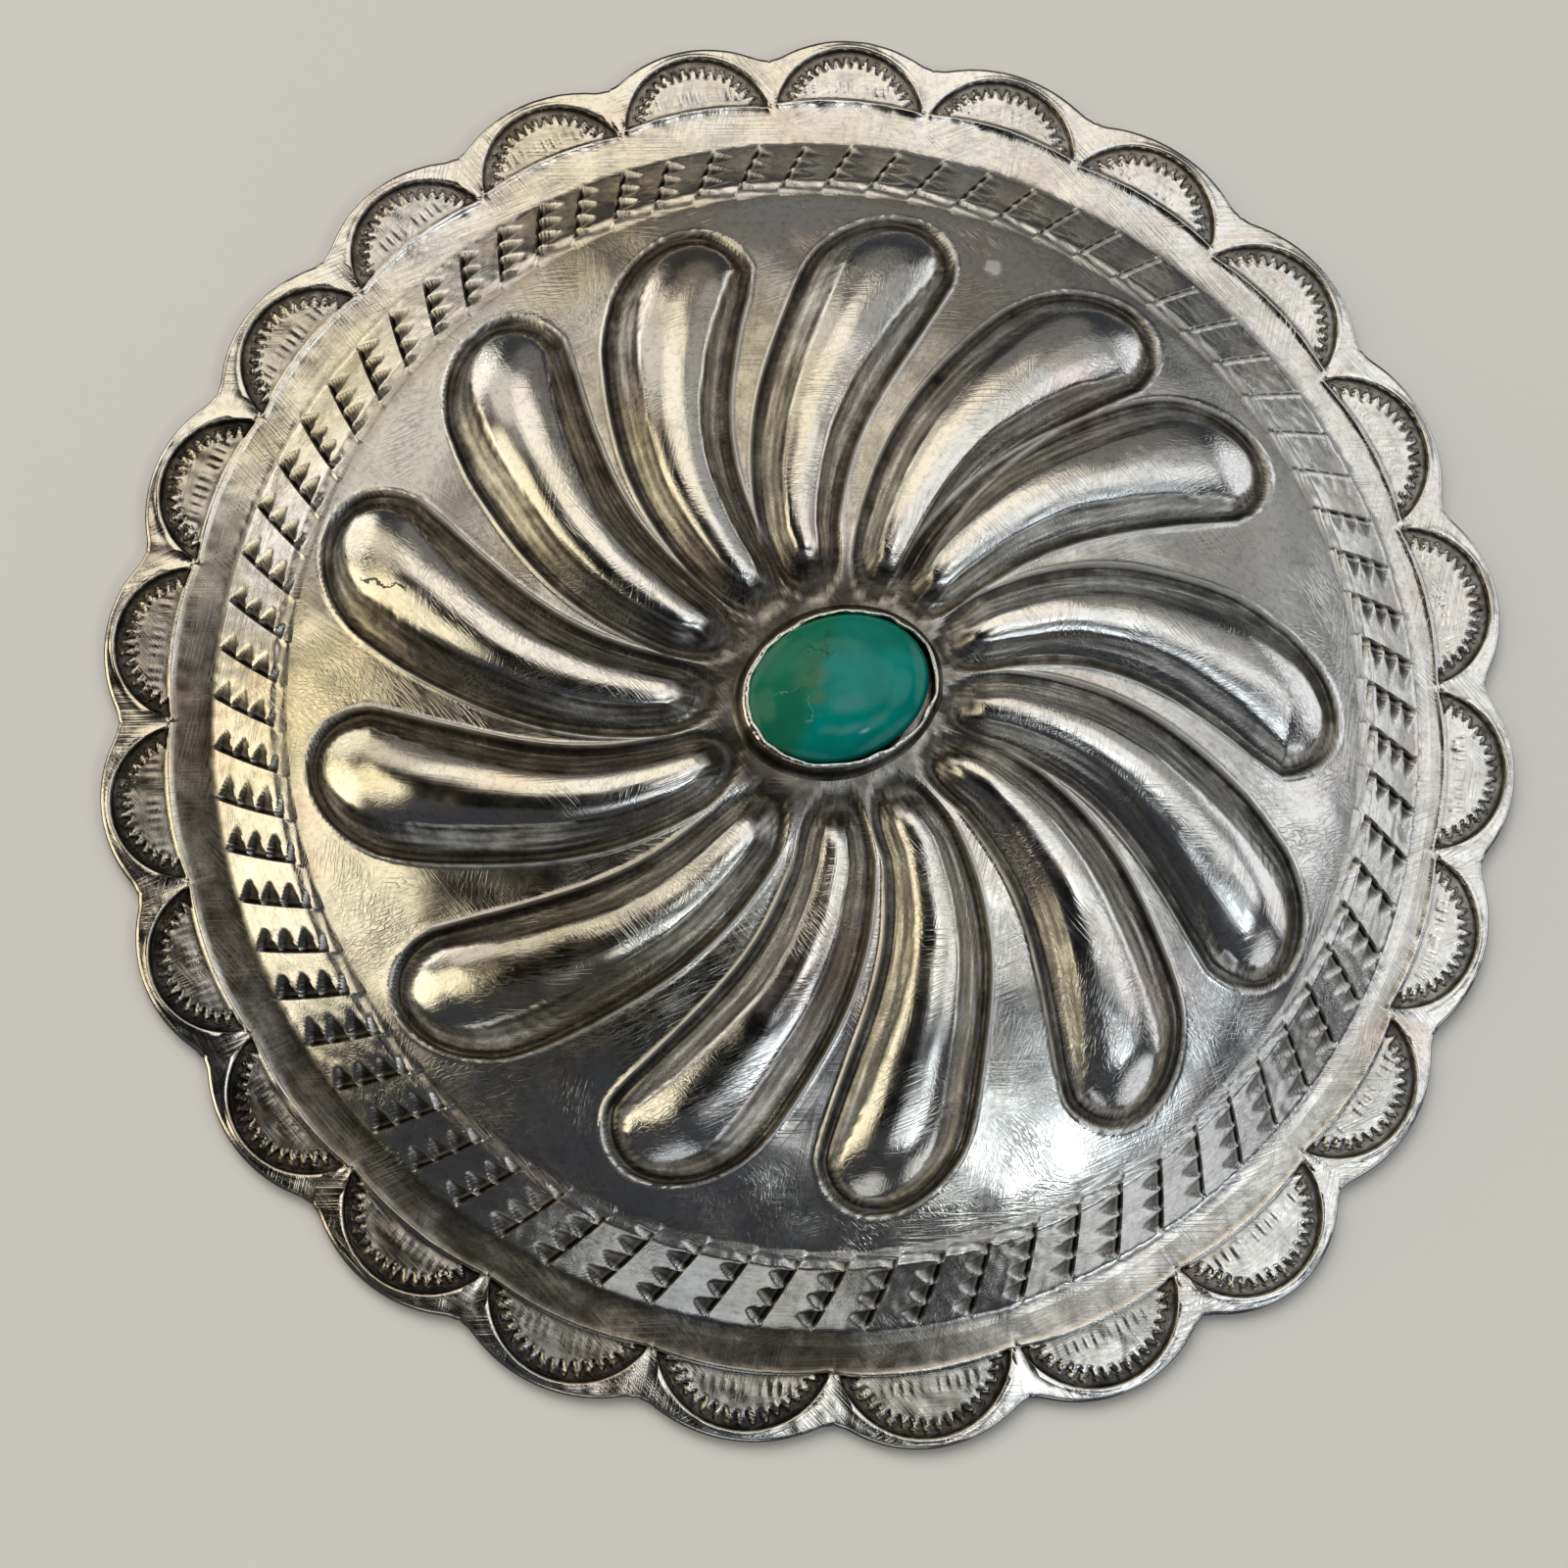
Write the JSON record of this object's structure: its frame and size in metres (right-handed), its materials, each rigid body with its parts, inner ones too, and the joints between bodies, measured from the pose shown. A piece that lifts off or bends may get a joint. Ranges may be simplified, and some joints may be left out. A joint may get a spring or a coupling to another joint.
{
  "type": "concho brooch",
  "caption": "Round domed silver concho brooch with a scalloped stamped rim, a rope-stamped wall, swirling raised lobes, an oval turquoise in a bezel and a pin behind.",
  "frame": {"origin": "centre of the dome's ring on the plane of the rim's back, within 0.4 mm of the middle of the scalloped outline", "axes": "+Z out of the front, +X towards the outer end of the lobe right of the stone as seen from the front, +Y towards the top of the front"},
  "size_m": [0.076, 0.0771, 0.0107],
  "materials": {
    "silver": "worn sterling silver with dark oxidised recesses",
    "turquoise": "polished green-blue turquoise with brown matrix",
    "pin_metal": "satin nickel-coloured pin"
  },
  "bodies": {
    "root": {"concho_plate": "silver", "turquoise": "turquoise", "back_pin": "pin_metal"}
  },
  "joints": []
}
